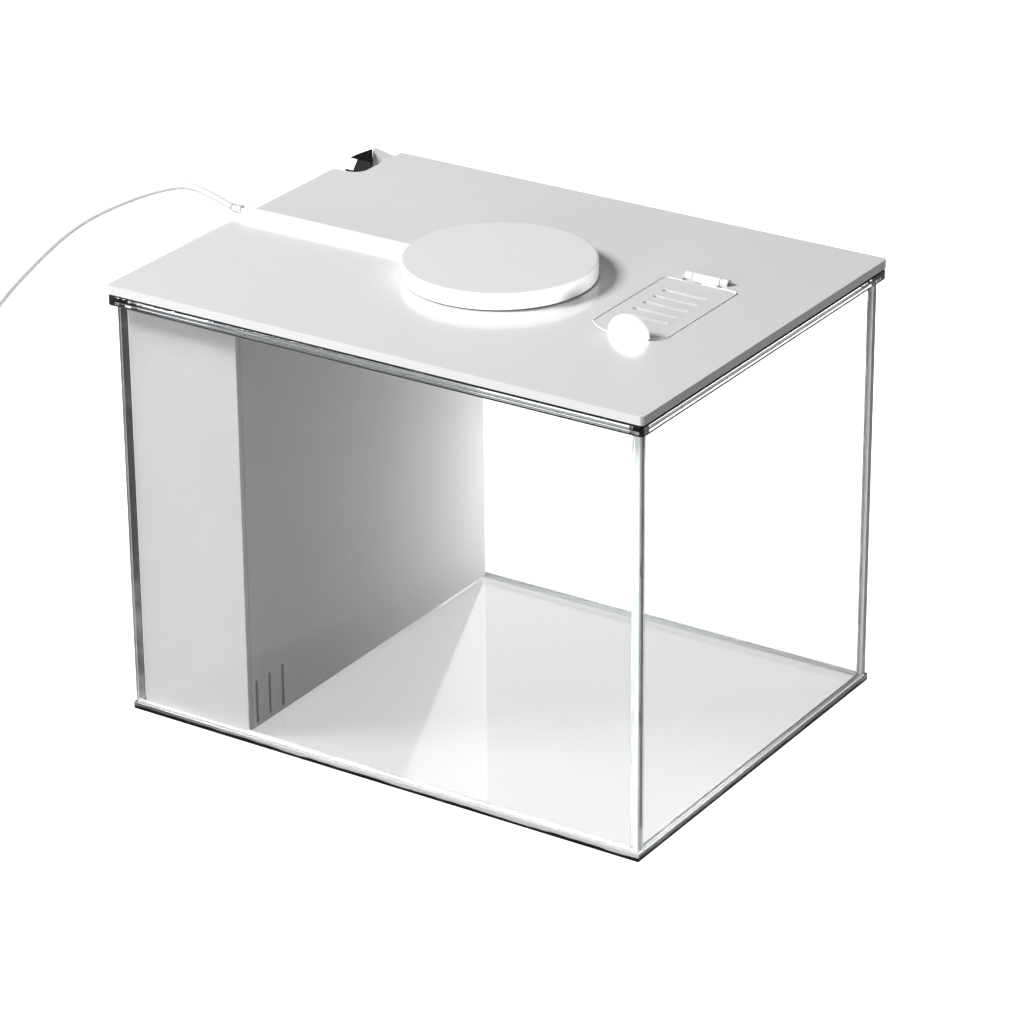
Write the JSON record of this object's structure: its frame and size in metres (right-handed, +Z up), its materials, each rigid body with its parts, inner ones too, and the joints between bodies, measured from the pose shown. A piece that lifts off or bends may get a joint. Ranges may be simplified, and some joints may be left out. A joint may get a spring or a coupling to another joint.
{
  "type": "desktop aquarium",
  "caption": "Small glass aquarium with a built-in side filter, lift-off lid, round lamp with lead and hinged feeding hatch.",
  "frame": {"origin": "on the table under the middle of the tank", "axes": "+Z up, +X towards the display end away from the filter, -Y towards the front"},
  "size_m": [0.4881, 0.227, 0.2381],
  "materials": {
    "glass": "clear, polished edges",
    "clear_plastic": "clear acrylic, polished",
    "silicone": "translucent silicone",
    "white_gloss": "moulded, high gloss",
    "white_panel": "sheet, satin",
    "opal": "opal, fine matt",
    "black_plastic": "moulded, satin",
    "black_rubber": "moulded, glossy",
    "coarse_foam": "open-cell filter foam, coarse",
    "fine_foam": "open-cell filter foam, fine",
    "ceramic": "unglazed ceramic",
    "steel": "plain",
    "magnet": "sintered ferrite",
    "circuit_board": "white solder mask",
    "blue_plastic": "moulded, satin",
    "cord_white": "soft PVC, satin"
  },
  "bodies": {
    "root": {"floor_pane": "glass", "front_pane": "glass", "back_pane": "glass", "left_pane": "glass", "right_pane": "glass", "seal_bead_tank": "silicone", "seal_bead_filter": "silicone", "top_rim": "clear_plastic", "cable_grommet": "black_rubber", "corner_cap": "white_gloss", "filter_front_panel": "white_panel", "filter_side_panel": "white_panel", "divider_front": "white_panel", "divider_rear": "white_panel", "media_grid_front": "black_plastic", "media_grid_rear": "black_plastic", "sponge_coarse": "coarse_foam", "sponge_fine": "fine_foam", "ceramic_rings": "ceramic", "pump_body": "black_plastic", "pump_volute": "black_plastic", "pump_strainer": "black_plastic", "pump_shaft": "ceramic", "shaft_bush": "black_rubber", "pump_cable_gland": "black_rubber", "suction_cup_front": "silicone", "suction_cup_rear": "silicone", "riser_hose": "silicone", "return_elbow": "black_plastic", "return_nut": "black_plastic", "lamp_cord": "cord_white", "cord_coil": "cord_white", "usb_plug": "cord_white", "usb_contact": "steel"},
    "lid": {"lid_plate": "white_gloss", "lid_strip_front": "clear_plastic", "lid_strip_rear": "clear_plastic", "lid_strip_left": "clear_plastic", "lid_strip_right": "clear_plastic", "lid_pad_front_left": "silicone", "lid_pad_front_right": "silicone", "lid_pad_rear_left": "silicone", "lid_pad_rear_right": "silicone", "lamp_base": "white_panel", "lamp_shell": "white_gloss", "led_board": "circuit_board", "lamp_diffuser": "opal", "lamp_screw_1": "steel", "lamp_screw_2": "steel", "lamp_screw_3": "steel", "lamp_arm": "white_gloss", "lamp_wire": "cord_white", "hinge_pin": "steel", "cord_gland": "cord_white"},
    "hatch": {"hatch_flap": "white_gloss", "hatch_tab": "white_gloss"},
    "impeller": {"pump_impeller": "white_gloss", "pump_rotor": "magnet"},
    "flow_dial": {"pump_flow_dial": "blue_plastic"},
    "nozzle": {"return_nozzle": "black_plastic"}
  },
  "joints": [
    {"name": "lid_lift", "type": "slide", "parent": "root", "child": "lid", "axis": [0, 0, 1], "range_m": [0, 0.06]},
    {"name": "hatch_hinge", "type": "hinge", "parent": "lid", "child": "hatch", "pos_m": [0.091, 0.0428, 0.2281], "axis": [-1, 0, 0], "range_deg": [0, 100]},
    {"name": "impeller_spin", "type": "hinge", "parent": "root", "child": "impeller", "pos_m": [-0.112, 0.06, 0.027], "axis": [0, 1, 0], "continuous": true},
    {"name": "dial_turn", "type": "hinge", "parent": "root", "child": "flow_dial", "pos_m": [-0.112, 0.047, 0.027], "axis": [0, -1, 0], "range_deg": [0, 90]},
    {"name": "nozzle_swivel", "type": "hinge", "parent": "root", "child": "nozzle", "pos_m": [-0.068, 0.0602, 0.1953], "axis": [1, 0, 0], "range_deg": [-60, 60]}
  ]
}
